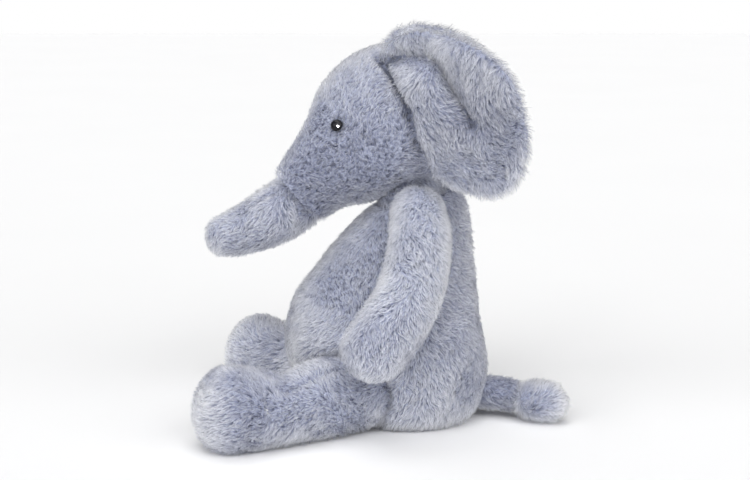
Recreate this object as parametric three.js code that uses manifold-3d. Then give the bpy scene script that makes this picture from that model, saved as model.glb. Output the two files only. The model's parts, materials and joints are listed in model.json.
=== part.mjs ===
// A seated plush elephant, built as it is sewn: fabric skins round separate stuffings, joined at soft ball joints.
//
// Frame: millimetres, +Z up. The origin is on the floor under the middle of the seat. The face looks along -Y, and
// +X is the elephant's own left. Every skin surface here is the fabric; its pile stands about 3 mm further out.
//
// Each limb starts in a round root that sits in a socket of the body, with a ring of stitches in the gap between
// them. A root is a ball about its joint's centre, so that the limb can turn either way without touching.
import * as THREE from "three";
import { ConvexGeometry } from "three/addons/geometries/ConvexGeometry.js";
import { mergeVertices } from "three/addons/utils/BufferGeometryUtils.js";
import Module from "manifold-3d";

const wasm = await Module();
wasm.setup();

// ---- Driving dimensions -------------------------------------------------------------------------------------

const WALL = 2.5; // fabric with the foot of its pile
const FILL_GAP = 0.6; // between a skin and its stuffing
const SOCKET_GAP = 2.2; // between a limb's root and the body
const THREAD = 0.6; // a stitched ring's half-thickness
const PORT = 6; // radius of the hole a limb is stuffed through

const BODY_SIDES = 20;
const LIMB_SIDES = 14;
const TAIL_SIDES = 12;

// The body, as level slices: height, middle along Y, half-width along X, half-depth along Y.
const BODY_SLICES = [
  [0, 7, 45, 45],
  [8, 1, 52, 55.5],
  [20, -3, 57, 66],
  [40, -7, 60, 72.5],
  [60, -10.5, 60, 73.5],
  [77, -11, 56, 69.5],
  [94, -9, 51, 65],
  [114, -3, 44.5, 56],
  [132, 3.5, 38.5, 48],
  [149, 11.5, 33, 39],
  [161, 15.5, 30, 32],
  [170, 16.5, 25, 26.5],
];

const NECK = { at: [0, 10, 168], radius: 24, lean: 15 }; // lean in degrees, forwards

// The head from the middle of the skull to the root of the trunk: place, half-width, half-height.
const HEAD_STATIONS = [
  { at: [0, 10, 227], half: [49.5, 50] },
  { at: [0, -12, 220], half: [50.5, 52] },
  { at: [0, -37, 201.5], half: [42.5, 40] },
  { at: [0, -58, 183.5], half: [31, 29] },
  { at: [0, -72, 170], half: [24.5, 24] },
];
const SKULL_DOME = 42;
const MUZZLE_DOME = 12;

const TRUNK_STATIONS = [
  { at: [0, -79, 161.5], half: [20, 20] },
  { at: [0, -91, 153.5], half: [20, 20.5] },
  { at: [0, -108, 144.5], half: [18, 18.5] },
  { at: [0, -124, 139], half: [16, 16] },
  { at: [0, -134.5, 137], half: [13.5, 13.5] },
];
const TRUNK_TIP = 9;

const EYE = { radius: 4.5, stem: 1.6, stemLength: 10, washer: 5.5, spine: 0.442, angle: 30 };

// The left ear's outline across Y and Z, from the top of its seam, over the top, round the back and up the front.
const EAR_OUTLINE = [
  [-19, 271],
  [-5, 286],
  [15, 292],
  [43, 284.5],
  [68.5, 265.5],
  [83, 239],
  [86.5, 211],
  [78.5, 186],
  [60.5, 177],
  [42, 179.5],
  [27, 188],
  [17, 199],
  [9, 214],
  [4, 235],
  [-9, 256],
];
const EAR = {
  middle: [36, 238],
  seamTop: [-17, 268],
  seamFoot: [12, 205],
  seamOut: [47.2, 50.4, 50.2, 46.8, 40.4, 25.2], // how far out the head holds the seam, from its foot to its top
  flare: 0.5,
  cup: 12,
  thick: 4,
  split: 0.3,
};
// The fold across the ear: where it runs over Y and Z, from near the seam's top down into the dish.
const FOLD = {
  path: [[-6, 268], [6, 271.5], [19, 272], [27, 267], [32, 258], [37, 248], [43, 240], [50, 228]],
  depth: 14,
  width: 8,
};

const SHOULDER = { at: [41, 12, 161], radius: 17 };
const ARM_STATIONS = [
  { at: [41, 12, 161], half: [17, 17] },
  { at: [57, 13, 143], half: [17, 20] },
  { at: [67, 10, 122], half: [17.5, 21.5] },
  { at: [74, 3, 103], half: [18, 21.5] },
  { at: [80, -9, 84], half: [18, 21.5] },
  { at: [83.5, -20, 70], half: [18, 21] },
];
const HAND_DOME = 20;

const HIP = { at: [41, -32, 31], radius: 27.5 };
// How each leg is posed: degrees out from straight ahead, how far its stuffing lets it reach, and how full it is.
const LEG_POSES = { left: { splay: 28, reach: 1, plump: 1 }, right: { splay: 31, reach: 0.94, plump: 0.96 } };
const LEG_STATIONS = [
  // distance along the leg, height of its middle, half-width, half-height
  [0, 31, 27.5, 27.5],
  [28, 28, 28, 27],
  [58, 24, 27, 23],
  [82, 27, 29, 27.5],
  [102, 29.5, 29.5, 30],
];
const SOLE_DOME = 19;
const LEG_SWEEP = { up: 3, down: 32, splay: [22, 44], reach: 110 }; // a leg's limits, in degrees

// The tail bends towards the elephant's left.
const TAIL = { at: [0, 63, 18], radius: 11 };
const TAIL_STATIONS = [
  { at: [0, 63, 18], half: [11, 11] },
  { at: [2, 75, 17.5], half: [10.5, 10.5] },
  { at: [7, 86, 17], half: [9.5, 10] },
];
const TUFT_STATIONS = [
  { at: [14, 97, 16.5], half: [12.5, 12.5] },
  { at: [19, 105, 16.5], half: [13, 13] },
  { at: [21, 109, 16.5], half: [12.5, 12.5] },
];
const TUFT_DOMES = [6, 10];

// ---- Solids ---------------------------------------------------------------------------------------------------

// A closed geometry as a manifold solid, whichever way its faces were wound.
function solid(geometry) {
  const bare = geometry.index ? geometry.toNonIndexed() : geometry.clone();
  for (const name of ["normal", "uv"]) bare.deleteAttribute(name);
  const merged = mergeVertices(bare, 1e-3);
  const corners = merged.index.array;
  const kept = [];
  for (let i = 0; i < corners.length; i += 3) {
    const [a, b, c] = [corners[i], corners[i + 1], corners[i + 2]];
    if (a !== b && b !== c && c !== a) kept.push(a, b, c);
  }
  const vertProperties = merged.getAttribute("position").array;
  const made = (triVerts) =>
    new wasm.Manifold(new wasm.Mesh({ numProp: 3, vertProperties, triVerts: new Uint32Array(triVerts) }));
  const first = made(kept);
  return first.volume() > 0 ? first : made(kept.reverse());
}

function geometryOf(made) {
  const { vertProperties, triVerts } = made.getMesh();
  const geometry = new THREE.BufferGeometry();
  geometry.setAttribute("position", new THREE.BufferAttribute(vertProperties, 3));
  geometry.setIndex(new THREE.BufferAttribute(triVerts, 1));
  geometry.computeVertexNormals();
  return geometry;
}

const cut = (made, ...tools) => tools.reduce((left, tool) => left.subtract(tool), made);

function ball(at, radius, sides = LIMB_SIDES) {
  return solid(new THREE.SphereGeometry(radius, sides, sides / 2).rotateX(Math.PI / 2).translate(...at));
}

// A round rod through `at`, along `direction`, reaching `before` and `after` it.
function rod(at, direction, radius, before, after, sides = 10) {
  const geometry = new THREE.CylinderGeometry(radius, radius, before + after, sides);
  geometry.translate(0, (after - before) / 2, 0);
  geometry.applyQuaternion(new THREE.Quaternion().setFromUnitVectors(UP_Y, direction));
  return geometry.translate(...at);
}

// ---- Soft forms -----------------------------------------------------------------------------------------------

const UP_Y = new THREE.Vector3(0, 1, 0);
const UP_Z = new THREE.Vector3(0, 0, 1);
const ACROSS = new THREE.Vector3(1, 0, 0);
const radians = THREE.MathUtils.degToRad;

// A closed form lofted through rings, each with its centre, two directions and two half-sizes.
function loft(rings, sides) {
  const last = rings.length - 1;
  const profile = rings.map((_, i) => new THREE.Vector2(i === 0 || i === last ? 0 : 1, i));
  const geometry = new THREE.LatheGeometry(profile, sides);
  const position = geometry.getAttribute("position");
  const place = new THREE.Vector3();
  for (let i = 0; i < position.count; i++) {
    const { centre, side, up, half } = rings[Math.round(position.getY(i))];
    place.copy(centre);
    place.addScaledVector(side, position.getX(i) * half[0]);
    place.addScaledVector(up, position.getZ(i) * half[1]);
    position.setXYZ(i, place.x, place.y, place.z);
  }
  return geometry;
}

// The centre and size of a stationed form at a share t of its length, `inset` inside its surface.
function stationed(stations, inset = 0) {
  const centres = new THREE.CatmullRomCurve3(stations.map((s) => new THREE.Vector3(...s.at)));
  const halves = new THREE.CatmullRomCurve3(stations.map((s) => new THREE.Vector3(...s.half, 0)));
  return (t) => {
    const tangent = centres.getTangent(t);
    const side = ACROSS.clone().addScaledVector(tangent, -tangent.x).normalize();
    const half = halves.getPoint(t);
    return {
      centre: centres.getPoint(t),
      tangent,
      side,
      up: new THREE.Vector3().crossVectors(tangent, side),
      half: [half.x - inset, half.y - inset],
    };
  };
}

// Rings of a form that ends in two domes, the first `domes[0]` long and the last `domes[1]`.
function domedRings(stations, domes, { inset = 0, middle = 7, cap = 3 } = {}) {
  const at = stationed(stations, inset);
  const dome = (t, length, sign) => {
    const foot = at(t);
    const rings = [];
    for (let i = 0; i < cap; i++) {
      const angle = (i / cap) * (Math.PI / 2);
      const centre = foot.centre.clone().addScaledVector(foot.tangent, sign * (length - inset) * Math.cos(angle));
      rings.push({ ...foot, centre, half: foot.half.map((h) => h * Math.sin(angle)) });
    }
    return rings;
  };
  const body = Array.from({ length: middle }, (_, i) => at(i / (middle - 1)));
  return [...dome(0, domes[0], -1), ...body, ...dome(1, domes[1], 1).reverse()];
}

// The rings of the body, `inset` inside its surface.
function bodyRings(inset = 0, count = 15) {
  const top = BODY_SLICES.at(-1)[0];
  const middles = new THREE.CatmullRomCurve3(BODY_SLICES.map(([z, y]) => new THREE.Vector3(0, y, z)));
  const halves = new THREE.CatmullRomCurve3(BODY_SLICES.map(([, , w, d]) => new THREE.Vector3(w, d, 0)));
  const rings = Array.from({ length: count }, (_, i) => {
    const share = i / (count - 1);
    const centre = middles.getPoint(share);
    centre.z = inset + (centre.z * (top - 2 * inset)) / top;
    const half = halves.getPoint(share);
    return { centre, side: ACROSS, up: UP_Y, half: [half.x - inset, half.y - inset] };
  });
  const cap = (ring, rise) => ({ ...ring, centre: ring.centre.clone().setZ(ring.centre.z + rise) });
  return [cap(rings[0], 0), ...rings, cap(rings.at(-1), 2.5)];
}

// A skin with its stuffing: the space between a form and the same form WALL further in, opened at the port.
function stuffed(rings, port, sides) {
  const opening = port ? [solid(port)] : [];
  const skin = cut(solid(loft(rings(0), sides)), solid(loft(rings(WALL), sides - 4)), ...opening);
  const fill = solid(loft(rings(WALL + FILL_GAP), sides - 4));
  return { skin, fill };
}

// A ring of stitches round a limb's root, in the gap on the side away from the limb.
function stitches(joint, towards, radius) {
  const reach = joint.radius + SOCKET_GAP / 2;
  const ring = new THREE.TorusGeometry(radius, THREAD, 5, 18);
  ring.translate(0, 0, Math.sqrt(reach * reach - radius * radius));
  ring.applyQuaternion(new THREE.Quaternion().setFromUnitVectors(UP_Z, towards));
  return ring.translate(...joint.at);
}

// The room round a root: its facets touch a ball SOCKET_GAP larger than the root from outside.
function socket(joint) {
  const sides = 16;
  return ball(joint.at, (joint.radius + SOCKET_GAP) / Math.cos(Math.PI / sides) ** 2, sides);
}

// ---- The parts, left-hand ones on +X ------------------------------------------------------------------------

// Everything above the floor, for what rests on it.
const aboveFloor = solid(new THREE.BoxGeometry(600, 600, 400).translate(0, 0, 200));

function arm() {
  const port = rod(SHOULDER.at, ACROSS.clone().negate(), PORT, 0, SHOULDER.radius + 2);
  const rings = (inset) => domedRings(ARM_STATIONS, [SHOULDER.radius, HAND_DOME], { inset });
  return stuffed(rings, port, LIMB_SIDES);
}

// A leg in its pose, on the left.
function leg({ splay, reach, plump }) {
  const ahead = new THREE.Vector3(0, -1, 0).applyAxisAngle(UP_Z, radians(splay));
  const stations = LEG_STATIONS.map(([along, height, width, rise]) => {
    const at = new THREE.Vector3(HIP.at[0], HIP.at[1], along > 0 ? height * plump : height);
    at.addScaledVector(ahead, along * reach);
    return { at: at.toArray(), half: [width, along > 0 ? rise * plump : rise] };
  });
  const port = rod(HIP.at, ACROSS.clone().negate(), PORT, 0, HIP.radius + 2);
  const rings = (inset) => domedRings(stations, [HIP.radius, SOLE_DOME], { inset });
  const { skin, fill } = stuffed(rings, port, LIMB_SIDES);
  return { skin: skin.intersect(aboveFloor), fill: fill.intersect(aboveFloor.translate([0, 0, WALL])) };
}

// The room a leg sweeps through: what fits round its root at every limit of its swing and its splay.
function legSweep() {
  const { up, down, reach } = LEG_SWEEP;
  const hip = new THREE.Vector3(...HIP.at);
  const corners = [hip];
  for (const swing of [-up, down]) {
    for (const splay of LEG_SWEEP.splay) {
      const ahead = new THREE.Vector3(0, -reach, 0).applyAxisAngle(UP_Z, radians(splay));
      corners.push(ahead.applyAxisAngle(ACROSS, radians(swing)).add(hip));
    }
  }
  const round = new THREE.IcosahedronGeometry(HIP.radius + SOCKET_GAP + 0.6, 1).getAttribute("position");
  const points = [];
  for (const corner of corners) {
    for (let i = 0; i < round.count; i++) points.push(new THREE.Vector3().fromBufferAttribute(round, i).add(corner));
  }
  return solid(new ConvexGeometry(points));
}

// How deep the ear's fold is at y, z.
const foldPath = new THREE.CatmullRomCurve3(FOLD.path.map(([y, z]) => new THREE.Vector3(0, y, z))).getPoints(40);
function foldDepth(y, z) {
  const distances = foldPath.map((p) => Math.hypot(p.y - y, p.z - z));
  const near = Math.min(...distances);
  const way = distances.indexOf(near) / (foldPath.length - 1);
  return FOLD.depth * Math.sin(Math.PI * way) * Math.exp(-((near / FOLD.width) ** 2));
}

function ear() {
  const outline = new THREE.CatmullRomCurve3(
    EAR_OUTLINE.map(([y, z]) => new THREE.Vector3(0, y, z)),
    true,
  );
  const [footY, footZ] = EAR.seamFoot;
  const [runY, runZ] = [EAR.seamTop[0] - footY, EAR.seamTop[1] - footZ];
  const seamLength = Math.hypot(runY, runZ);
  const seam = new THREE.SplineCurve(EAR.seamOut.map((x, i) => new THREE.Vector2(i, x)));
  // How far out the ear's middle surface stands at y, z: on the head at the seam, then flaring away behind it.
  const standOff = (y, z, share) => {
    const along = ((y - footY) * runY + (z - footZ) * runZ) / seamLength ** 2;
    const behind = ((y - footY) * runZ - (z - footZ) * runY) / seamLength;
    const held = seam.getPoint(THREE.MathUtils.clamp(along, 0, 1)).y;
    const cup = EAR.cup * share ** 3 * THREE.MathUtils.smoothstep(behind, 5, 45);
    return held + EAR.flare * behind + cup - foldDepth(y, z);
  };
  const panel = (layer) => {
    const geometry = new THREE.SphereGeometry(1, 30, 12);
    const position = geometry.getAttribute("position");
    const uv = geometry.getAttribute("uv");
    for (let i = 0; i < position.count; i++) {
      const rise = position.getY(i);
      const share = Math.sqrt(Math.max(0, 1 - rise * rise));
      const rim = outline.getPoint((uv.getX(i) + 1) % 1);
      const y = EAR.middle[0] + (rim.y - EAR.middle[0]) * share;
      const z = EAR.middle[1] + (rim.z - EAR.middle[1]) * share;
      const depth = EAR.split + EAR.thick * Math.max(0, rise);
      position.setXYZ(i, standOff(y, z, share) + layer * depth, y, z);
    }
    return solid(geometry);
  };
  return { dish: panel(1), back: panel(-1) };
}

// The eye's place on the head's skin, and the way it looks.
function eyeSeat() {
  const { centre, side, up, half } = stationed(HEAD_STATIONS)(EYE.spine);
  const [a, b] = [Math.cos(radians(EYE.angle)), Math.sin(radians(EYE.angle))];
  const at = centre.clone().addScaledVector(side, half[0] * a).addScaledVector(up, half[1] * b);
  const out = side.clone().multiplyScalar(a / half[0]).addScaledVector(up, b / half[1]).normalize();
  return { at, out };
}

// A domed bead with its stem, and the washer that locks it behind the fabric.
function eye({ at, out }) {
  const bead = new THREE.SphereGeometry(EYE.radius, 14, 8).scale(1, 0.62, 1).translate(0, 1.6, 0);
  const flat = new THREE.BoxGeometry(20, 20, 20).translate(0, -8.9, 0);
  const stem = new THREE.CylinderGeometry(EYE.stem, EYE.stem, EYE.stemLength, 8);
  stem.translate(0, 1.8 - EYE.stemLength / 2, 0);
  const collar = [
    new THREE.Vector2(EYE.stem + 0.3, -7.4),
    new THREE.Vector2(EYE.washer, -7.4),
    new THREE.Vector2(EYE.washer, -6.2),
    new THREE.Vector2(EYE.stem + 0.3, -6.2),
    new THREE.Vector2(EYE.stem + 0.3, -7.4),
  ];
  const washer = new THREE.LatheGeometry(collar, 12);
  const pocket = new THREE.CylinderGeometry(EYE.washer + 1, EYE.washer + 1, 14, 12).translate(0, -7, 0);
  const turn = new THREE.Quaternion().setFromUnitVectors(UP_Y, out);
  const seat = (geometry) => solid(geometry.applyQuaternion(turn).translate(at.x, at.y, at.z));
  const button = seat(bead).subtract(seat(flat)).add(seat(stem));
  const hole = new THREE.CylinderGeometry(EYE.stem + 0.3, EYE.stem + 0.3, 12, 8);
  return { button, washer: seat(washer), pocket: seat(pocket), hole: seat(hole) };
}

function neck() {
  const { at, radius, lean } = NECK;
  const groove = 2.2;
  const profile = [];
  for (let i = 0; i <= 12; i++) {
    const angle = (i / 12) * Math.PI;
    const waist = Math.abs(i - 6) < 1 ? groove : 0;
    profile.push(new THREE.Vector2((radius - waist) * Math.sin(angle), -radius * Math.cos(angle)));
  }
  profile[0].x = 0;
  profile[12].x = 0;
  const lie = (geometry) => solid(geometry.rotateX(Math.PI / 2 + radians(lean)).translate(...at));
  const thread = new THREE.TorusGeometry(radius - groove + THREAD + 0.3, THREAD, 5, 24);
  return {
    sleeve: lie(new THREE.LatheGeometry(profile, LIMB_SIDES)),
    thread: lie(thread.rotateX(Math.PI / 2)),
  };
}

// ---- The assembly -----------------------------------------------------------------------------------------------

const pile = new THREE.MeshStandardMaterial({ color: 0xa1a7ba, roughness: 0.95, metalness: 0 });
const fibre = new THREE.MeshStandardMaterial({ color: 0xf1f0ec, roughness: 1, metalness: 0 });
const beanCloth = new THREE.MeshStandardMaterial({ color: 0xd9d6cd, roughness: 0.9, metalness: 0 });
const thread = new THREE.MeshStandardMaterial({ color: 0x7f869c, roughness: 0.7, metalness: 0 });
const bead = new THREE.MeshStandardMaterial({ color: 0x08080a, roughness: 0.12, metalness: 0 });
const plastic = new THREE.MeshStandardMaterial({ color: 0xe6e6e2, roughness: 0.5, metalness: 0 });

const elephant = new THREE.Group();

function add(name, made, material) {
  const mesh = new THREE.Mesh(geometryOf(made), material);
  mesh.name = name;
  elephant.add(mesh);
}

// Adds the left-hand part and its mirror image on the right.
function addPair(name, made, material) {
  add(`left_${name}`, made, material);
  add(`right_${name}`, made.mirror([1, 0, 0]), material);
}

const both = (made) => made.add(made.mirror([1, 0, 0]));

function addBody() {
  const rings = (inset) => bodyRings(inset);
  const { skin, fill } = stuffed(rings, null, BODY_SIDES);
  const room = [socket(NECK), both(socket(SHOULDER)), both(socket(HIP)), both(legSweep()), socket(TAIL)];
  const seat = solid(new THREE.BoxGeometry(200, 200, 26).translate(0, 0, 13));
  const split = solid(new THREE.BoxGeometry(200, 200, FILL_GAP).translate(0, 0, 26 + FILL_GAP / 2));
  const packed = cut(fill, ...room);
  add("body_skin", cut(skin, ...room), pile);
  add("body_stuffing", cut(packed, seat, split), fibre);
  add("seat_bean_bag", packed.intersect(seat), beanCloth);
}

function addHead() {
  const rings = (inset) => domedRings(HEAD_STATIONS, [SKULL_DOME, MUZZLE_DOME], { inset, middle: 9, cap: 4 });
  const { skin, fill } = stuffed(rings, null, BODY_SIDES);
  const trunkRoot = { at: TRUNK_STATIONS[0].at, radius: TRUNK_STATIONS[0].half[0] };
  const room = [socket(NECK), socket(trunkRoot)];
  const { button, washer, pocket, hole } = eye(eyeSeat());
  add("head_skin", cut(skin, ...room, both(hole)), pile);
  add("head_stuffing", cut(fill, ...room, both(pocket)), fibre);
  addPair("eye", button, bead);
  addPair("eye_washer", washer, plastic);
  const { sleeve, thread: tie } = neck();
  add("neck_sleeve", sleeve, pile);
  add("neck_thread", tie, thread);
}

function addTrunk() {
  const [root] = TRUNK_STATIONS;
  const rings = (inset) => domedRings(TRUNK_STATIONS, [root.half[0], TRUNK_TIP], { inset });
  const inwards = stationed(TRUNK_STATIONS)(0).tangent.negate();
  const { skin, fill } = stuffed(rings, rod(root.at, inwards, PORT, 0, 24), TAIL_SIDES);
  add("trunk_skin", skin, pile);
  add("trunk_stuffing", fill, fibre);
}

function addEars() {
  const { dish, back } = ear();
  addPair("ear_dish_panel", dish, pile);
  addPair("ear_back_panel", back, pile);
}

function addArms() {
  const { skin, fill } = arm();
  addPair("arm_skin", skin, pile);
  addPair("arm_stuffing", fill, fibre);
  addPair("shoulder_thread", solid(stitches(SHOULDER, ACROSS.clone().negate(), 9)), thread);
}

function addLegs() {
  for (const [side, pose] of Object.entries(LEG_POSES)) {
    const { skin, fill } = leg(pose);
    const placed = (made) => (side === "left" ? made : made.mirror([1, 0, 0]));
    add(`${side}_leg_skin`, placed(skin), pile);
    add(`${side}_leg_stuffing`, placed(fill), fibre);
  }
  addPair("hip_thread", solid(stitches(HIP, ACROSS.clone().negate(), 11)), thread);
}

function addTail() {
  const rings = (inset) => domedRings(TAIL_STATIONS, [TAIL.radius, 4], { inset, middle: 4 });
  const inwards = new THREE.Vector3(0, -1, 0);
  const { skin, fill } = stuffed(rings, rod(TAIL.at, inwards, 5, 0, 20), TAIL_SIDES);
  add("tail_skin", skin, pile);
  add("tail_stuffing", fill, fibre);
  add("tail_tuft", solid(loft(domedRings(TUFT_STATIONS, TUFT_DOMES, { middle: 3, cap: 4 }), TAIL_SIDES)), pile);
  add("tail_thread", solid(stitches(TAIL, inwards, 7.5)), thread);
}

addBody();
addHead();
addTrunk();
addEars();
addArms();
addLegs();
addTail();

export default elephant;
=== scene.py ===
import json
import math

import bmesh
import bpy
import numpy as np
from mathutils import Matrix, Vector
from mathutils.kdtree import KDTree


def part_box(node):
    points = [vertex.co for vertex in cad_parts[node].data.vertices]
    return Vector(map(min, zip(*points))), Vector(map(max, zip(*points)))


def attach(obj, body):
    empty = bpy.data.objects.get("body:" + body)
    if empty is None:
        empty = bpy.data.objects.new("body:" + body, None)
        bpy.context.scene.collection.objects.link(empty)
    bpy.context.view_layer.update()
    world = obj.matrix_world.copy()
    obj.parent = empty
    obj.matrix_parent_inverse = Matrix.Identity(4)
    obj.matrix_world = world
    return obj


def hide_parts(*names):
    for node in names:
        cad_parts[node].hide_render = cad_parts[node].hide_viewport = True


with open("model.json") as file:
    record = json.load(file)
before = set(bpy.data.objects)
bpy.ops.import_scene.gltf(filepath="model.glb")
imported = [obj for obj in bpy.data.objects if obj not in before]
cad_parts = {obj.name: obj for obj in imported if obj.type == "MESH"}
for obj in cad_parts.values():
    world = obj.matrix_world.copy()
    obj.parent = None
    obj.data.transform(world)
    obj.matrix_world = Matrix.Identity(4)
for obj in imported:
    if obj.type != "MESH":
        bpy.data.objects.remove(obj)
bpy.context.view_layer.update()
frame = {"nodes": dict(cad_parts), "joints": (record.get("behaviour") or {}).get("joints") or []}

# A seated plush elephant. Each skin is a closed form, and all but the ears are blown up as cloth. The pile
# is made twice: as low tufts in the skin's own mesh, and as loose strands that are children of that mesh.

MM = 0.001
X = np.array([1.0, 0.0, 0.0])
UP = np.array([0.0, 0.0, 1.0])
DOWN = (0, 0, -1)
MIRROR = np.array([-1, 1, 1])

PILE = 6.4 * MM  # length of the pile
SWIRL = 0.5  # how far the pile is turned out of the way it is combed, in radians
LOCK_AREA = 1.9 * MM * MM  # skin that one lock of strands covers
STRAND_AREA = 0.42 * MM * MM  # skin that one strand covers
STRAND_RADII = np.array([0.14, 0.14, 0.13, 0.1, 0.05]) * MM  # from root to tip
ROOT_DEPTH = 0.6 * MM  # how far under the skin a strand starts
TUFT_LOCKS = 3  # a tuft of the mesh covers as much skin as this many locks
RELIEF = 1.5 * MM  # how far a tuft stands out of the mesh
# How the locks differ, from least to most: how tall, how flat, how tightly gathered.
LOCKS = ((0.75, 1.12), (0.6, 1.4), (0.6, 1.0))

PRESSURE = 4  # of the stuffing on the cloth
CLOTH_FRAMES = 15
VOXEL = 4.2 * MM  # grain of the cloth
FINE_VOXEL = 3.5 * MM  # the same for the thin forms
BODY_VOXEL = 4 * MM  # grain of the body's mesh once its hollows are pressed in
EAR_VOXEL = 2.6 * MM
SKIN_HEIGHT = 2.0 * MM  # of a skin that lies on the floor, on its own flattened pile

joints = {joint["name"]: joint for joint in frame["joints"]}


def anchor(name):
    """A joint's centre, in millimetres."""
    return np.array(joints[name]["pos_m"]) / MM


NECK = anchor("head_turn")
TRUNK = anchor("trunk_bend")
SHOULDER = anchor("left_arm_swing")
HIP = anchor("left_leg_swing")
TAIL = anchor("tail_wag")

# Radius, in millimetres, of the hollow that each root turns in, and of what a leg sweeps beyond its root.
NECK_ROOM = 25.5
TRUNK_ROOM = 21
SHOULDER_ROOM = 19.5
HIP_ROOM = 29
LEG_ROOM = 27.5
TAIL_ROOM = 13.5


# ---- Small numeric helpers ---------------------------------------------------------------------


def unit(v):
    return v / np.maximum(np.linalg.norm(v, axis=-1, keepdims=True), 1e-12)


def ease(t):
    t = np.clip(t, 0.0, 1.0)
    return t * t * (3 - 2 * t)


def spline(knots, t):
    """Catmull-Rom through evenly spaced knots, at shares t of the way."""
    knots = np.asarray(knots, float)
    ends = np.vstack([2 * knots[0] - knots[1], knots, 2 * knots[-1] - knots[-2]])
    along = np.clip(np.asarray(t, float), 0, 1) * (len(knots) - 1)
    first = np.minimum(along.astype(int), len(knots) - 2)
    f = (along - first)[:, None]
    a, b, c, d = (ends[first + i] for i in range(4))
    return 0.5 * (2 * b + (c - a) * f + (2 * a - 5 * b + 4 * c - d) * f**2 + (3 * b - a - 3 * c + d) * f**3)


def waves(seed, scale, count=10):
    """A smooth random field of points in metres, mostly from -1 to 1, that varies over `scale` metres."""
    rng = np.random.default_rng(seed)
    k = rng.normal(size=(count, 3)) * (1.6 / scale)
    phase = rng.uniform(0, 2 * math.pi, count)
    return lambda p: np.sin(p @ k.T + phase).sum(axis=1) * (1.4 / math.sqrt(count))


def to_path(p, path):
    """Distance from each point to a polyline, and the share of its length at the nearest place."""
    path = np.asarray(path, float)
    legs = np.linalg.norm(np.diff(path, axis=0), axis=1)
    starts = np.concatenate([[0], np.cumsum(legs)[:-1]])
    best = np.full(len(p), 1e9)
    share = np.zeros(len(p))
    for a, b, leg, start in zip(path[:-1], path[1:], legs, starts):
        f = np.clip((p - a) @ (b - a) / leg**2, 0, 1)
        d = np.linalg.norm(p - (a + f[:, None] * (b - a)), axis=1)
        near = d < best
        best[near] = d[near]
        share[near] = ((start + f * leg) / legs.sum())[near]
    return best, share


# ---- Meshes ------------------------------------------------------------------------------------


def new_mesh(name, points, faces):
    mesh = bpy.data.meshes.new(name)
    mesh.from_pydata([tuple(p) for p in points], [], faces)
    obj = bpy.data.objects.new(name, mesh)
    bpy.context.scene.collection.objects.link(obj)
    bm = bmesh.new()
    bm.from_mesh(mesh)
    bmesh.ops.recalc_face_normals(bm, faces=bm.faces)
    bm.to_mesh(mesh)
    bm.free()
    return obj


def points_of(obj):
    out = np.empty(len(obj.data.vertices) * 3, np.float32)
    obj.data.vertices.foreach_get("co", out)
    return out.reshape(-1, 3).astype(float)


def normals_of(obj):
    out = np.empty(len(obj.data.vertices) * 3, np.float32)
    obj.data.vertex_normals.foreach_get("vector", out)
    return out.reshape(-1, 3).astype(float)


def area_of(obj):
    return sum(face.area for face in obj.data.polygons)


def move_points(obj, points):
    obj.data.vertices.foreach_set("co", np.asarray(points, np.float32).ravel())
    obj.data.update()


def mark(data, name, domain, values):
    """Writes a number for each point or curve, for a material to read."""
    attribute = data.attributes.new(name, "FLOAT", domain)
    attribute.data.foreach_set("value", values.astype(np.float32))


def apply_modifier(obj, kind, **values):
    modifier = obj.modifiers.new(kind.title(), kind)
    for key, value in values.items():
        setattr(modifier, key, value)
    graph = bpy.context.evaluated_depsgraph_get()
    baked = bpy.data.meshes.new_from_object(obj.evaluated_get(graph))
    obj.modifiers.clear()
    old = obj.data
    obj.data = baked
    baked.name = obj.name
    bpy.data.meshes.remove(old)


def remeshed(obj, voxel):
    apply_modifier(obj, "REMESH", mode="VOXEL", voxel_size=voxel, adaptivity=0.0)


def ring_faces(rings, sides):
    """Faces of a closed form: rings of `sides` points, then one point at the start and one at the end."""
    faces = []
    for i in range(rings - 1):
        for j in range(sides):
            k = (j + 1) % sides
            faces.append((i * sides + j, i * sides + k, (i + 1) * sides + k, (i + 1) * sides + j))
    first = rings * sides
    last = first + 1
    for j in range(sides):
        k = (j + 1) % sides
        faces.append((first, k, j))
        faces.append((last, (rings - 1) * sides + j, (rings - 1) * sides + k))
    return faces


def rounded(name, stations, domes, sides=44, step=4.0, level=False):
    """A closed form along a path of stations (x, y, z, half-width, half-height), with a dome of its own
    length at each end; all in millimetres. Its rings lie across the path, or level."""
    stations = np.asarray(stations, float)
    length = np.linalg.norm(np.diff(stations[:, :3], axis=0), axis=1).sum()
    shares = np.linspace(0, 1, max(6, int(length / step)))
    at = spline(stations, shares)
    tangent = np.broadcast_to(UP, (len(at), 3)) if level else unit(np.gradient(at[:, :3], axis=0))
    side = unit(X - tangent * (tangent @ X)[:, None])
    up = np.cross(tangent, side)
    turn = np.linspace(0, 2 * math.pi, sides, endpoint=False)

    def ring(i, shift, scale):
        centre = at[i, :3] + tangent[i] * shift
        wide, high = at[i, 3:] * scale
        return centre + wide * np.outer(np.cos(turn), side[i]) + high * np.outer(np.sin(turn), up[i])

    steps = 8  # from a dome's point to its foot
    angles = [k / steps * math.pi / 2 for k in range(1, steps)]
    rings = [ring(0, -domes[0] * math.cos(a), math.sin(a)) for a in angles]
    rings += [ring(i, 0, 1) for i in range(len(at))]
    rings += [ring(-1, domes[1] * math.cos(a), math.sin(a)) for a in reversed(angles)]
    poles = [at[0, :3] - tangent[0] * domes[0], at[-1, :3] + tangent[-1] * domes[1]]
    return new_mesh(name, np.vstack(rings + poles) * MM, ring_faces(len(rings), sides))


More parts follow.
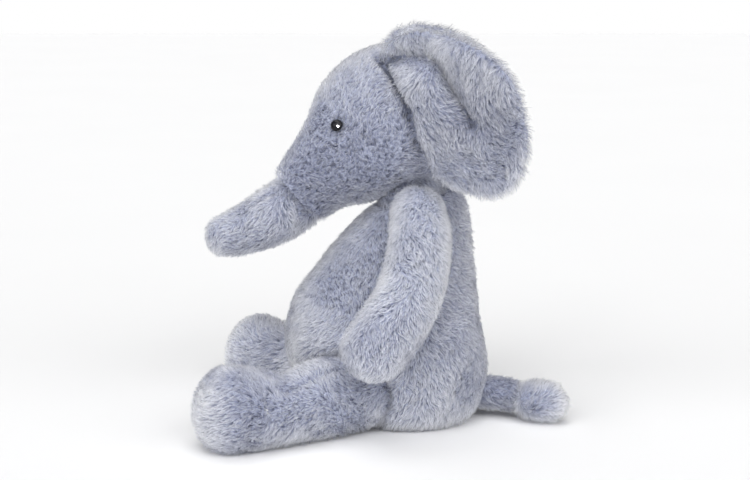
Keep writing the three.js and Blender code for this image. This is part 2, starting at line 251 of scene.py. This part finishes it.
def padded(obj, swell, voxel=VOXEL):
    """Blows the form up as cloth, as its stuffing does, by at most `swell` millimetres."""
    remeshed(obj, voxel)
    start = points_of(obj)
    cloth = obj.modifiers.new("Cloth", "CLOTH")
    cloth.settings.use_pressure = True
    cloth.settings.uniform_pressure_force = PRESSURE
    cloth.settings.effector_weights.gravity = 0
    cloth.collision_settings.use_collision = False
    for number in range(1, CLOTH_FRAMES + 1):
        bpy.context.scene.frame_set(number)
    graph = bpy.context.evaluated_depsgraph_get()
    blown = bpy.data.meshes.new_from_object(obj.evaluated_get(graph))
    moved = np.empty(len(blown.vertices) * 3, np.float32)
    blown.vertices.foreach_get("co", moved)
    bpy.data.meshes.remove(blown)
    obj.modifiers.clear()
    shift = moved.reshape(-1, 3).astype(float) - start
    size = np.linalg.norm(shift, axis=1, keepdims=True)
    move_points(obj, start + shift * np.minimum(1, swell * MM / np.maximum(size, 1e-9)))
    bpy.context.scene.frame_set(1)


def unwrapped(obj):
    """Gives a coarse mesh its UV map, under the name that the export looks for. No material here uses
    it."""
    bpy.ops.object.select_all(action="DESELECT")
    bpy.context.view_layer.objects.active = obj
    obj.select_set(True)
    bpy.ops.object.mode_set(mode="EDIT")
    bpy.ops.mesh.select_all(action="SELECT")
    bpy.ops.uv.smart_project(angle_limit=1.15, island_margin=0.004)
    bpy.ops.object.mode_set(mode="OBJECT")
    obj.data.uv_layers[0].name = "OFBake"


# ---- Materials ---------------------------------------------------------------------------------


def node_material(name):
    material = bpy.data.materials.new(name)
    material.use_nodes = True
    tree = material.node_tree
    shader = tree.nodes["Principled BSDF"]
    return material, tree, shader


def ramp(tree, stops, source):
    node = tree.nodes.new("ShaderNodeValToRGB")
    elements = node.color_ramp.elements
    while len(elements) > 1:
        elements.remove(elements[-1])
    elements[0].position = stops[0][0]
    elements[0].color = (*stops[0][1], 1)
    for place, colour in stops[1:]:
        elements.new(place).color = (*colour, 1)
    tree.links.new(source, node.inputs["Fac"])
    return node.outputs["Color"]


def noise(tree, scale, detail=3.0):
    where = tree.nodes.new("ShaderNodeTexCoord")
    node = tree.nodes.new("ShaderNodeTexNoise")
    node.inputs["Scale"].default_value = scale
    node.inputs["Detail"].default_value = detail
    tree.links.new(where.outputs["Object"], node.inputs["Vector"])
    return node.outputs["Fac"]


def marked(tree, name):
    """A number that `mark` wrote."""
    node = tree.nodes.new("ShaderNodeAttribute")
    node.attribute_name = name
    return node.outputs["Fac"]


def summed(tree, *terms):
    """A weighted sum of (socket, weight) terms."""
    total = None
    for socket, weight in terms:
        node = tree.nodes.new("ShaderNodeMath")
        node.operation = "MULTIPLY_ADD"
        tree.links.new(socket, node.inputs[0])
        node.inputs[1].default_value = weight
        node.inputs[2].default_value = 0.0
        if total is not None:
            tree.links.new(total, node.inputs[2])
        total = node.outputs[0]
    return total


def product(tree, a, b):
    node = tree.nodes.new("ShaderNodeMath")
    node.operation = "MULTIPLY"
    tree.links.new(a, node.inputs[0])
    tree.links.new(b, node.inputs[1])
    return node.outputs[0]


def linear(r, g, b):
    """An sRGB colour, 0 to 255, as scene-linear."""
    return tuple(((c / 255 + 0.055) / 1.055) ** 2.4 for c in (r, g, b))


def pile_skin():
    """The skin under the strands, with painted shade: pale on the tufts, dark between them, and darkest
    along the seams, as the shade of the hollows and creases.
    """
    material, tree, shader = node_material("pile_skin")
    fine = noise(tree, 900, 2)
    broad = noise(tree, 60, 2)
    tufts = summed(tree, (marked(tree, "rise"), 0.56), (fine, 0.3), (broad, 0.16))
    stops = [
        (0.08, linear(52, 56, 68)),
        (0.3, linear(104, 109, 128)),
        (0.55, linear(138, 143, 163)),
        (0.85, linear(170, 175, 193)),
    ]
    # painted shade: the tufts' rise darkens the hollows between them, and `left` darkens the seams
    colour = ramp(tree, stops, product(tree, tufts, marked(tree, "left")))
    tree.links.new(colour, shader.inputs["Base Color"])
    shader.inputs["Roughness"].default_value = 0.95
    shader.inputs["Specular IOR Level"].default_value = 0.1
    shader.inputs["Sheen Weight"].default_value = 0.25
    shader.inputs["Sheen Roughness"].default_value = 0.6
    return material


def pile_strand():
    """The strands: painted shade darkens them towards the root, and their tone, with the painted light and
    shade of each skin, shifts them; locks and single strands differ a little at random.
    """
    material, tree, _ = node_material("pile_strand")
    shader = tree.nodes.new("ShaderNodeBsdfHairPrincipled")
    info = tree.nodes.new("ShaderNodeHairInfo")
    # painted shade towards the root, plus the tone with its painted light and shade
    value = summed(tree, (info.outputs["Intercept"], 0.62), (marked(tree, "tone"), 0.5))
    stops = [(0.1, linear(42, 45, 57)), (0.5, linear(134, 137, 153)), (0.95, linear(226, 228, 237))]
    tree.links.new(ramp(tree, stops, value), shader.inputs["Color"])
    shader.inputs["Roughness"].default_value = 0.5
    shader.inputs["Radial Roughness"].default_value = 0.7
    tree.links.new(shader.outputs["BSDF"], tree.nodes["Material Output"].inputs["Surface"])
    return material


def glossy_bead():
    material, tree, shader = node_material("eye_bead")
    stops = [(0.3, (0.002, 0.002, 0.0025)), (0.8, (0.006, 0.006, 0.008))]
    tree.links.new(ramp(tree, stops, noise(tree, 400)), shader.inputs["Base Color"])
    shader.inputs["Roughness"].default_value = 0.06
    shader.inputs["Specular IOR Level"].default_value = 0.22
    return material


def hidden_finish(name, dark, light, scale, roughness):
    """The finish of a piece inside: mottled, and rough to match."""
    material, tree, shader = node_material(name)
    colour = ramp(tree, [(0.3, dark), (0.75, light)], noise(tree, scale, 5))
    tree.links.new(colour, shader.inputs["Base Color"])
    shader.inputs["Roughness"].default_value = roughness
    bump = tree.nodes.new("ShaderNodeBump")
    bump.inputs["Strength"].default_value = 0.4
    bump.inputs["Distance"].default_value = 0.5 * MM
    tree.links.new(noise(tree, scale * 2), bump.inputs["Height"])
    tree.links.new(bump.outputs["Normal"], shader.inputs["Normal"])
    return material


skin_material = pile_skin()
strand_material = pile_strand()
bead_material = glossy_bead()
fibre_material = hidden_finish("stuffing", linear(222, 221, 216), linear(247, 246, 243), 300, 1.0)
pouch_material = hidden_finish("bean_pouch", linear(196, 190, 178), linear(222, 218, 208), 700, 0.9)
thread_material = hidden_finish("thread", linear(104, 110, 132), linear(150, 157, 178), 2500, 0.7)
washer_material = hidden_finish("washer", linear(214, 214, 210), linear(236, 236, 232), 250, 0.5)


# ---- Pile --------------------------------------------------------------------------------------


def spread(obj, count, rng):
    """Random places on a mesh, evenly by area, with their normals."""
    mesh = obj.data
    mesh.calc_loop_triangles()
    corners = np.empty(len(mesh.loop_triangles) * 3, np.int32)
    mesh.loop_triangles.foreach_get("vertices", corners)
    corners = corners.reshape(-1, 3)
    points = points_of(obj)
    a, b, c = (points[corners[:, i]] for i in range(3))
    area = np.linalg.norm(np.cross(b - a, c - a), axis=1)
    steps = (np.arange(count) + rng.random(count)) / count
    chosen = np.minimum(np.searchsorted(np.cumsum(area) / area.sum(), steps), len(corners) - 1)
    u, v = rng.random(count), rng.random(count)
    beyond = u + v > 1
    u[beyond] = 1 - u[beyond]
    v[beyond] = 1 - v[beyond]
    share = np.stack([1 - u - v, u, v], axis=1)[:, :, None]
    place = (points[corners[chosen]] * share).sum(axis=1)
    normal = unit((normals_of(obj)[corners[chosen]] * share).sum(axis=1))
    return place, normal


def combed(normals, points, flow, seed):
    """The way the pile lies: along `flow`, turned this way and that in broad patches and in small ones."""
    along = np.broadcast_to(unit(np.asarray(flow, float)), points.shape)
    along = unit(along - normals * (along * normals).sum(axis=1, keepdims=True) + 1e-6)
    sideways = np.cross(normals, along)
    broad = waves(seed, 22 * MM)(points)
    small = waves(seed + 7, 6 * MM)(points)
    angle = (SWIRL * broad + 0.35 * small)[:, None]
    return along * np.cos(angle) + sideways * np.sin(angle)


def tree_of(centres):
    tree = KDTree(len(centres))
    for i, centre in enumerate(centres.tolist()):
        tree.insert(centre, i)
    tree.balance()
    return tree


def relief(obj, centres, normals, lean, keep):
    """Raises each tuft in the mesh itself: a low mound, pushed over the way it lies. `keep` fades some
    out."""
    points = points_of(obj)
    tree = tree_of(centres)
    found = [tree.find(p)[1:] for p in points.tolist()]
    owner = np.array([f[0] for f in found])
    distance = np.array([f[1] for f in found])
    reach = math.sqrt(TUFT_LOCKS * LOCK_AREA) * 0.62
    rise = np.clip(1 - (distance / reach) ** 2, -0.6, 1) * keep(points)
    out = normals[owner] * (rise * RELIEF)[:, None]
    over = lean[owner] * (np.maximum(rise, 0) * RELIEF * 0.8)[:, None]
    move_points(obj, points + (out + over))
    # the rise also sets the skin's painted shade: dark between the tufts
    mark(obj.data, "rise", "POINT", 0.5 + 0.5 * rise)


def lock_of(roots, centres, lean):
    """The lock each root belongs to. Locks are long the way they lie, so a step that way counts for a
    quarter."""
    tree = tree_of(centres)
    near = np.array([[found[1] for found in tree.find_n(p, 7)] for p in roots.tolist()])
    gap = roots[:, None] - centres[near]
    along = (gap * lean[near]).sum(axis=2)
    cost = (gap**2).sum(axis=2) - 0.94 * along**2
    return near[np.arange(len(roots)), cost.argmin(axis=1)]


def strands(obj, centres, lean, length, shade, rng):
    """Loose strands. Those of one lock draw in to its middle line, and some locks stand taller or lie
    flatter."""
    count = int(area_of(obj) / STRAND_AREA)
    root, n = spread(obj, count, rng)
    owner = lock_of(root, centres, lean)
    tall, flat, gather = (rng.uniform(low, high, (len(centres), 1))[owner] for low, high in LOCKS)
    size = length(root)[:, None] * tall * rng.uniform(0.85, 1.08, (count, 1))
    comb = lean[owner]
    comb = unit(comb - n * (comb * n).sum(axis=1, keepdims=True))
    offset = root - centres[owner]
    offset -= n * (offset * n).sum(axis=1, keepdims=True)
    offset -= comb * (offset * comb).sum(axis=1, keepdims=True) * 0.8
    curl = rng.normal(size=centres.shape)[owner] * 0.1 + rng.normal(size=(count, 3)) * 0.05
    root = root - n * ROOT_DEPTH
    tip = root + unit(n + comb * flat + curl) * size - offset * gather
    bend = root + unit(n + comb * flat * 0.2 - curl * 0.5) * size * 0.5 - offset * gather * 0.4
    t = np.linspace(0, 1, len(STRAND_RADII))[None, :, None]
    paths = root[:, None] * (1 - t) ** 2 + 2 * bend[:, None] * t * (1 - t) + tip[:, None] * t**2
    tone = rng.uniform(0, 1, len(centres))[owner] * 0.6 + rng.uniform(0, 1, count) * 0.4
    # shade adds painted light and shade to the random tone of locks and strands
    hair(obj, paths, tone + shade(root / MM))


def hair(obj, paths, tone):
    """Adds the strands to a skin: each has a path and a tone, which holds its random tone and painted light
    and shade.
    """
    name = obj.name + "_pile"
    data = bpy.data.hair_curves.new(name)
    data.add_curves([len(STRAND_RADII)] * len(paths))
    data.attributes["position"].data.foreach_set("vector", paths.reshape(-1).astype(np.float32))
    radius = data.attributes.get("radius") or data.attributes.new("radius", "FLOAT", "POINT")
    radius.data.foreach_set("value", np.tile(STRAND_RADII, len(paths)).astype(np.float32))
    mark(data, "tone", "CURVE", tone)
    data.materials.append(strand_material)
    pile = bpy.data.objects.new(name, data)
    bpy.context.scene.collection.objects.link(pile)
    pile.parent = obj


def drawn_in(points, seams):
    """How far the seams draw each point in, in millimetres, and how much of its pile they leave; where
    little is left, the skin is painted darker, as shade in the seam. A seam is a path, a width and a depth,
    in millimetres."""
    depth = np.zeros(len(points))
    left = np.ones(len(points))
    for path, width, deep in seams:
        near, _ = to_path(points / MM, path)
        depth = depth + deep * np.exp(-((near / width) ** 2))
        left = left * (1 - 0.75 * np.exp(-((near / (0.6 * width)) ** 2)))
    return depth, left


def everywhere(points):
    return np.ones(len(points))


def unshaded(mm):
    return np.zeros(len(mm))


def furred(obj, seed, flow, pile=1.0, fine=2, keep=everywhere, seams=(), shade=unshaded):
    """Makes the mesh fine, draws it in along its seams, and gives it its tufts, as relief and as strands.
    Its pile is `pile` times the usual length. Its strands are paler where `shade`, of a place in
    millimetres, is positive, and darker where it is negative: painted light and shade. Along the seams the
    skin is painted darker, as shade in the creases."""
    for polygon in obj.data.polygons:
        polygon.use_smooth = True
    unwrapped(obj)
    apply_modifier(obj, "SUBSURF", levels=fine, render_levels=fine)
    points = points_of(obj)
    depth, _ = drawn_in(points, seams)
    move_points(obj, points - normals_of(obj) * depth[:, None] * MM)

    rng = np.random.default_rng(seed)
    centres, normals = spread(obj, int(area_of(obj) / LOCK_AREA), rng)
    lean = combed(normals, centres, flow, seed)
    lean = unit(lean + np.cross(normals, lean) * rng.normal(size=(len(centres), 1)) * 0.26)
    uneven = waves(seed + 1, 30 * MM)

    def length(roots):
        _, left = drawn_in(roots, seams)
        return PILE * pile * (1 + 0.1 * uneven(roots)) * left

    strands(obj, centres, lean, length, shade, rng)
    _, left = drawn_in(points_of(obj), seams)
    relief(obj, centres[::TUFT_LOCKS], normals[::TUFT_LOCKS], lean[::TUFT_LOCKS], keep)
    # painted shade: the skin is darker along the seams, where little pile is left
    mark(obj.data, "left", "POINT", left)
    obj.data.materials.clear()
    obj.data.materials.append(skin_material)


# ---- Shapes shared by the skins ----------------------------------------------------------------


def mirrored(path):
    return [(-x, *rest) for x, *rest in path]


def along_side(stations, first, last, angle, sign=1):
    """A line on a form's skin between two shares of its length, so many degrees above its left or right
    side."""
    at = spline(stations, np.linspace(first, last, 9))
    tangent = unit(np.gradient(at[:, :3], axis=0))
    side = unit(X - tangent * (tangent @ X)[:, None])
    up = np.cross(tangent, side)
    up = up * np.sign(up[:, 2:])
    turn = math.radians(angle)
    return at[:, :3] + sign * side * at[:, 3:4] * math.cos(turn) + up * at[:, 4:5] * math.sin(turn)


def pressed(points, centres, radius, heart):
    """Presses a skin towards its heart, out of the balls about `centres`. The balls and the heart are in
    millimetres."""
    for centre in centres:
        away = points - np.asarray(centre, float) * MM
        distance = np.linalg.norm(away, axis=1)
        inside = distance < radius * MM
        toward = unit(np.array(heart) * MM - points)
        dot = (away * toward).sum(axis=1)
        step = -dot + np.sqrt(np.maximum(dot**2 + (radius * MM) ** 2 - distance**2, 0))
        points = np.where(inside[:, None], points + toward * step[:, None], points)
    return points


def off_floor(points):
    """Holds a skin up off the floor."""
    return np.column_stack([points[:, :2], np.maximum(points[:, 2], SKIN_HEIGHT)])


# ---- Body and neck -----------------------------------------------------------------------------

# Height, middle, half-width and half-depth of each slice of the body.
BODY_SLICES = (
    (2, 6, 43, 43),
    (8, 1, 50.5, 54),
    (20, -3, 55.5, 64.5),
    (40, -7.5, 58.5, 70.5),
    (60, -11, 58.5, 71.5),
    (77, -11.5, 54.5, 68.5),
    (94, -9.5, 49.5, 64.5),
    (114, -3, 43, 54.5),
    (132, 3, 37, 47),
    (149, 9.5, 32, 39.5),
    (161, 15, 29, 31.5),
    (170, 16.5, 24.5, 25.5),
)
BODY_HEART = (0, 0, 60)

# How each leg is posed: degrees out from straight ahead, how far it reaches, how full it is.
LEG_POSES = {"left": (28, 1, 1), "right": (31, 0.94, 0.93)}


def leg_places():
    """Places along a left leg at the limits of its swing and its splay."""
    swing, splay = (joints[f"left_leg_{name}"]["range_deg"] for name in ("swing", "splay"))
    for lift in (-swing[0], 0, -swing[1]):
        for turn in (splay[0], 0, splay[1]):
            up = math.radians(lift)
            out = math.radians(LEG_POSES["left"][0] + turn)
            way = np.array([math.sin(out) * math.cos(up), -math.cos(out) * math.cos(up), math.sin(up)])
            for along in range(0, 70, 10):
                yield HIP + way * along


def body_painted_shade(mm):
    """The belly is a little paler, and painted shade darkens the back above the seat."""
    return 0.06 - 0.3 * ease((mm[:, 1] - 10) / 30) * ease((mm[:, 2] - 40) / 30)


def above_seat(points):
    return ease((points[:, 2] / MM - 3) / 8)


def body():
    stations = [(0, y, z, wide, deep) for z, y, wide, deep in BODY_SLICES]
    obj = rounded("body", stations, (0.5, 5), sides=64, level=True)
    padded(obj, 2.5)
    skin = off_floor(points_of(obj))
    swept = [place * side for place in leg_places() for side in (1, MIRROR)]
    for centres, radius in (
        ([SHOULDER, SHOULDER * MIRROR], SHOULDER_ROOM),
        (swept, LEG_ROOM),
        ([HIP, HIP * MIRROR], HIP_ROOM),
        ([TAIL], TAIL_ROOM),
        ([NECK], NECK_ROOM),
    ):
        skin = pressed(skin, centres, radius, BODY_HEART)
    move_points(obj, skin)
    remeshed(obj, BODY_VOXEL)
    apply_modifier(obj, "SMOOTH", factor=0.5, iterations=3)
    furred(obj, 11, DOWN, keep=above_seat, shade=body_painted_shade)
    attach(obj, "body")
    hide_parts("body_skin")


def neck():
    x, y, z = NECK
    stations = [
        (x, y - 3, z - 11, 21, 21.5),
        (x, y - 1, z, 22.5, 23.5),
        (x, y, z + 12, 20, 20),
    ]
    obj = rounded("neck", stations, (10, 10), sides=40)
    padded(obj, 1.0)
    furred(obj, 12, DOWN)
    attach(obj, "neck")
    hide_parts("neck_sleeve")


# ---- Head and trunk ----------------------------------------------------------------------------

# Where the left ear is sewn on, from its top to its foot.
EAR_GROOVE = [
    (22, -20, 268),
    (37, -8, 256),
    (46, 1, 242),
    (49, 6, 226),
    (48.5, 8, 213),
    (43, 13, 201),
]


def eye_dent(side):
    """A seam no longer than a stitch under an eye, to draw the skin in there and paint shade into the dent.
    """
    low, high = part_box(f"{side}_eye")
    middle = (np.array(low) + np.array(high)) / 2 / MM
    return [middle - (0, 0.5, 0), middle + (0, 0.5, 0)], 7, 2


def face_painted_shade(mm):
    """Painted shade: the pile is darker from the brow down."""
    return -0.25 * ease((240 - mm[:, 2]) / 40)


def head():
    stations = [
        (0, 10, 227, 48, 48.5),
        (0, -12.5, 220.8, 49, 51.3),
        (0, -36.2, 200.4, 41, 40),
        (0, -58, 183.5, 29.5, 27.5),
        (0, -72, 170, 23, 22.5),
    ]
    obj = rounded("head", stations, (42, 11), sides=60)
    padded(obj, 2.5)
    skin = pressed(points_of(obj), [NECK], NECK_ROOM, heart=(0, 0, 225))
    move_points(obj, pressed(skin, [TRUNK], TRUNK_ROOM, heart=(0, -30, 200)))
    # along the ear grooves and the eye dents the skin is also painted darker, as shade in the hollows
    seams = [(EAR_GROOVE, 5, 1.2), (mirrored(EAR_GROOVE), 5, 1.2), eye_dent("left"), eye_dent("right")]
    furred(obj, 13, (0, 0.8, 0.6), pile=0.85, seams=seams, shade=face_painted_shade)
    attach(obj, "head")
    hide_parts("head_skin")


def trunk():
    x, y, z = TRUNK
    stations = [
        (x, y, z, 18.5, 18.5),
        (x, y - 12, z - 8, 18.5, 19),
        (x, y - 29, z - 17, 16.5, 17),
        (x, y - 45, z - 22.5, 14.5, 14.5),
        (x, y - 54, z - 24.5, 12, 12),
    ]
    obj = rounded("trunk", stations, (18.5, 8.5), sides=34)
    padded(obj, 1.5, FINE_VOXEL)
    # along these creases the skin is also painted darker, as shade
    seams = [(along_side(stations, 0.05, 0.6, 50, sign), 3, 1.5) for sign in (1, -1)]
    furred(obj, 14, (0, -0.5, -1), pile=0.95, seams=seams)
    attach(obj, "trunk")
    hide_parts("trunk_skin")


# ---- Arms and legs -----------------------------------------------------------------------------


def limb(name, stations, domes, seed, flow, **pile):
    """An arm or a leg, with its root a ball about its joint."""
    obj = rounded(name, stations, domes)
    padded(obj, 1.5)
    move_points(obj, off_floor(points_of(obj)))
    furred(obj, seed, flow, **pile)
    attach(obj, name)
    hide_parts(name + "_skin")


def arm_painted_light(mm):
    """Painted light: the pile is paler towards the shoulder."""
    return 0.33 * ease((mm[:, 2] - 90) / 30)


def arms():
    x, y, z = SHOULDER
    stations = [
        (x, y, z, 16, 16),
        (x + 16, y + 1, z - 18, 16, 18.5),
        (x + 26, y - 2, z - 39, 17, 20.5),
        (x + 33, y - 9, z - 58, 17.5, 21),
        (x + 39, y - 21, z - 77, 17.5, 21),
        (x + 42.5, y - 32, z - 91, 17, 20),
    ]
    limb("left_arm", stations, (16, 19), 21, (0.3, -0.2, -1), shade=arm_painted_light)
    limb("right_arm", mirrored(stations), (16, 19), 22, (-0.3, -0.2, -1), shade=arm_painted_light)


# How far each section of a leg is from its root, how far above it, and its half-width and half-height.
LEG_SECTIONS = (
    (0, 0, 26, 26),
    (28, -3, 26.5, 25.5),
    (58, -7, 25.5, 21.5),
    (82, -4, 27.5, 26),
    (102, -1.5, 28, 28.5),
)


def leg_stations(sign, splay, reach, plump):
    """A leg's path. A less full one lies lower, so that it still rests on the floor."""
    x, y, z = HIP
    angle = math.radians(splay)
    stations = []
    for along, rise, wide, high in LEG_SECTIONS:
        out = math.sin(angle) * along * reach
        ahead = math.cos(angle) * along * reach
        full = plump if along else 1
        stations.append(((x + out) * sign, y - ahead, (z + rise) * full, wide, high * full))
    return stations


def leg_painted_shade(mm):
    """Painted shade: the ankle is darker than the rest."""
    return 0.05 - 0.2 * np.exp(-(((mm[:, 1] + 104) / 15) ** 2))


def legs():
    for side, sign, seed in (("left", 1, 31), ("right", -1, 32)):
        stations = leg_stations(sign, *LEG_POSES[side])
        top = along_side(stations, 0.12, 0.68, 50, sign)
        ankle = np.vstack([along_side(stations, 0.76, 0.77, angle, sign)[:1] for angle in (12, 24, 36)])
        # along the top seam and the ankle crease the skin is also painted darker, as shade
        seams = [(top, 3, 1.5), (ankle, 3.5, 2.5)]
        flow = (0.4 * sign, -0.8, 0.3)
        limb(f"{side}_leg", stations, (26, 18), seed, flow, seams=seams, shade=leg_painted_shade)


# ---- Tail --------------------------------------------------------------------------------------


# Painted shade: the tail is darker.
def tail_painted_shade(mm):
    return np.full(len(mm), -0.2)


# Painted light: the tuft is paler.
def tuft_painted_light(mm):
    return np.full(len(mm), 0.12)


def tail():
    x, y, z = TAIL
    stations = [
        (x, y, z, 9.8, 9.8),
        (x + 2, y + 12, z - 0.5, 9.5, 9.5),
        (x + 7, y + 23, z - 1, 8.5, 9),
    ]
    obj = rounded("tail", stations, (9.8, 2), sides=28)
    padded(obj, 1.2, FINE_VOXEL)
    furred(obj, 15, (0, 1, -0.2), shade=tail_painted_shade)
    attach(obj, "tail")
    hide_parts("tail_skin")


def tail_tuft():
    x, y, z = TAIL
    stations = [
        (x + 14, y + 34, z - 1.5, 11, 11),
        (x + 19, y + 42, z - 1.5, 11.5, 11.5),
        (x + 21, y + 46, z - 1.5, 11, 11),
    ]
    obj = rounded("tail_tuft", stations, (6, 10.5), sides=34)
    padded(obj, 1.2, FINE_VOXEL)
    furred(obj, 16, (0, 1, -0.3), pile=1.35, shade=tuft_painted_light)
    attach(obj, "tail")
    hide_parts("tail_tuft")


# ---- Ears --------------------------------------------------------------------------------------

# An ear is drawn over Y and Z, in millimetres, and `ear_sheet` says how far out it stands there.
EAR_OUTLINE = [
    (-18, 271),
    (-5, 285),
    (15, 290.5),
    (42.5, 284),
    (68.5, 265.5),
    (81.5, 239),
    (84.5, 211),
    (76.5, 186),
    (59.5, 178),
    (42, 180),
    (27, 188.5),
    (17.5, 200),
    (11.5, 214),
    (7, 235),
    (-5, 256),
]
EAR_FRONT = [(-16, 269), (-5, 256), (7, 235), (11.5, 214), (17.5, 200)]  # its edge against the head
FOLD = [(-6, 268), (6, 271.5), (19, 272), (27, 267), (32, 258), (37, 248), (43, 240), (50, 228)]
EAR_MIDDLE = np.array([36.0, 238.0])
EAR_SEAM = np.array([(12, 205), (-17, 268)])  # foot and top of the line where the head holds the ear
SEAM_OUT = np.array([[46], [49.2], [49], [45.6], [39.2], [24]])  # how far out that line lies, foot to top
EAR_THICK = 4.2  # half of it
EAR_RINGS = 26
EAR_SIDES = 120
FLARE = 0.5  # how much further out the ear stands for each millimetre behind its seam
CUP = 12  # how far out its rim curls
FOLD_DEPTH = 17
FOLD_LOBES = 3  # how far the ear swells on either side of its fold


def ear_sheet(flat, share):
    """How far out the ear stands at places this share of the way from its middle to its rim: on the head at
    its seam, flaring away behind it, and drawn in along its fold."""
    foot, top = EAR_SEAM
    seam = top - foot
    length = np.hypot(*seam)
    away = flat - foot
    held = spline(SEAM_OUT, away @ seam / length**2)[:, 0]
    behind = (away[:, 0] * seam[1] - away[:, 1] * seam[0]) / length
    out = held + FLARE * behind + CUP * share**3 * ease((behind - 5) / 40)
    near, way = to_path(flat, FOLD)
    shown = np.sin(math.pi * way) ** 0.7
    lobes = FOLD_LOBES * shown * np.exp(-(((near - 14) / 7) ** 2))
    return out + lobes - FOLD_DEPTH * shown * np.exp(-((near / 5) ** 1.5))


def ear_layer(rim, shares, direction):
    """Rings of the ear's outer face, direction 1, or its inner face, direction -1, from the middle out."""
    rings = []
    for share in shares:
        flat = EAR_MIDDLE + (rim - EAR_MIDDLE) * share
        thick = EAR_THICK * np.sqrt(np.maximum(0, 1 - share**4))
        rings.append(np.column_stack([ear_sheet(flat, share) + direction * thick, flat]))
    return rings


def on_ear(path, share, sign):
    """A path over Y and Z, laid on the ear."""
    flat = np.array(path, float)
    return np.column_stack([ear_sheet(flat, share), flat]) * (sign, 1, 1)


def dish_painted_shade(mm):
    """Painted shade: the dish is darkest in its hollow middle."""
    return 0.06 - 0.4 * np.exp(-((mm[:, 1] - 47) ** 2 + (mm[:, 2] - 234) ** 2) / 22**2)


def ear(side, sign, seed):
    closed = np.array(EAR_OUTLINE + EAR_OUTLINE[:1], float)
    rim = spline(closed, np.linspace(0, 1, EAR_SIDES, endpoint=False))
    shares = np.sin(np.linspace(0, 1, EAR_RINGS) * math.pi / 2)
    outer = ear_layer(rim, shares[1:], 1)
    inner = ear_layer(rim, shares[1:-1], -1)
    centre = ear_sheet(EAR_MIDDLE[None], 0)[0]
    poles = [[centre + EAR_THICK, *EAR_MIDDLE], [centre - EAR_THICK, *EAR_MIDDLE]]
    points = np.vstack(outer + inner[::-1] + poles) * (sign, 1, 1)
    obj = new_mesh(f"{side}_ear", points * MM, ring_faces(len(outer) + len(inner), EAR_SIDES))
    remeshed(obj, EAR_VOXEL)
    # along the fold and the front edge the pile is short and the skin painted dark, as shade in the crease
    # and under the edge
    seams = [(on_ear(FOLD, 0.5, sign), 11, 0.5), (on_ear(EAR_FRONT, 1.0, sign), 7, 0.5)]
    furred(obj, seed, (0, 0.4, -1), fine=1, pile=1.1, seams=seams, shade=dish_painted_shade)
    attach(obj, f"{side}_ear")
    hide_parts(f"{side}_ear_dish_panel", f"{side}_ear_back_panel")


body()
neck()
head()
trunk()
arms()
legs()
tail()
tail_tuft()
ear("left", 1, 41)
ear("right", -1, 42)


# ---- Finishes of what is carried over ----------------------------------------------------------


def carried_over():
    """Gives each CAD node that stays the finish that its last word calls for."""
    finishes = {
        "eye": bead_material,
        "washer": washer_material,
        "thread": thread_material,
        "stuffing": fibre_material,
        "bag": pouch_material,
    }
    for name, node in frame["nodes"].items():
        material = finishes.get(name.split("_")[-1])
        if material:
            node.data.materials.clear()
            node.data.materials.append(material)


carried_over()


# ---- Floor, light and camera -------------------------------------------------------------------

FLOOR_HALF = 6  # metres


def floor():
    corners = [(x * FLOOR_HALF, y * FLOOR_HALF, 0) for x, y in ((-1, -1), (1, -1), (1, 1), (-1, 1))]
    obj = new_mesh("floor", corners, [(0, 1, 2, 3)])
    material, tree, shader = node_material("floor")
    stops = [(0.0, (0.79, 0.79, 0.79)), (1.0, (0.81, 0.81, 0.81))]
    tree.links.new(ramp(tree, stops, noise(tree, 3)), shader.inputs["Base Color"])
    shader.inputs["Roughness"].default_value = 0.9
    shader.inputs["Specular IOR Level"].default_value = 0.0
    obj.data.materials.append(material)


def backdrop():
    """White to the camera, and a faint fill to everything else."""
    world = bpy.data.worlds.new("studio")
    bpy.context.scene.world = world
    world.use_nodes = True
    tree = world.node_tree
    path = tree.nodes.new("ShaderNodeLightPath")
    glow = ramp(tree, [(0.0, (0.06, 0.06, 0.065)), (1.0, (1.0, 1.0, 1.0))], path.outputs["Is Camera Ray"])
    tree.links.new(glow, tree.nodes["Background"].inputs["Color"])


def aimed(obj, target):
    obj.rotation_mode = "QUATERNION"
    obj.rotation_quaternion = (target - obj.location).to_track_quat("-Z", "Y")


def lamp(name, kind, place, energy, **values):
    """A light that shines on the origin."""
    light = bpy.data.lights.new(name, kind)
    light.energy = energy
    for key, value in values.items():
        setattr(light, key, value)
    obj = bpy.data.objects.new(name, light)
    obj.location = place
    aimed(obj, Vector())
    bpy.context.scene.collection.objects.link(obj)
    return obj


def lamps():
    for name, place, strength in (
        ("top", (0, -0.1, 1), 1.5),
        ("camera_top", (1, 0, 1), 1.65),
        ("front", (1, -1, 0.6), 1.25),
        ("back", (1, 1, 0.6), 1.3),
    ):
        lamp(name, "SUN", place, strength, angle=math.radians(50))


def eye_glint():
    """A small lamp that only the eyes reflect."""
    glint = lamp("glint", "AREA", (1.3, -0.1, 0.5), 40.0, size=0.16)
    eyes = bpy.data.collections.new("eyes")
    for side in ("left", "right"):
        eyes.objects.link(frame["nodes"][f"{side}_eye"])
    glint.light_linking.receiver_collection = eyes


def camera():
    """On the elephant's left, ten degrees up."""
    data = bpy.data.cameras.new("camera")
    data.lens = 77.8
    data.sensor_width = 36
    obj = bpy.data.objects.new("camera", data)
    bpy.context.scene.collection.objects.link(obj)
    target = Vector((0, -0.0185, 0.134))
    tilt = math.radians(10)
    distance = 1.2
    obj.location = target + distance * Vector((math.cos(tilt), 0, math.sin(tilt)))
    aimed(obj, target)
    bpy.context.scene.camera = obj
    bpy.context.scene.view_settings.view_transform = "Standard"


floor()
backdrop()
lamps()
eye_glint()
camera()
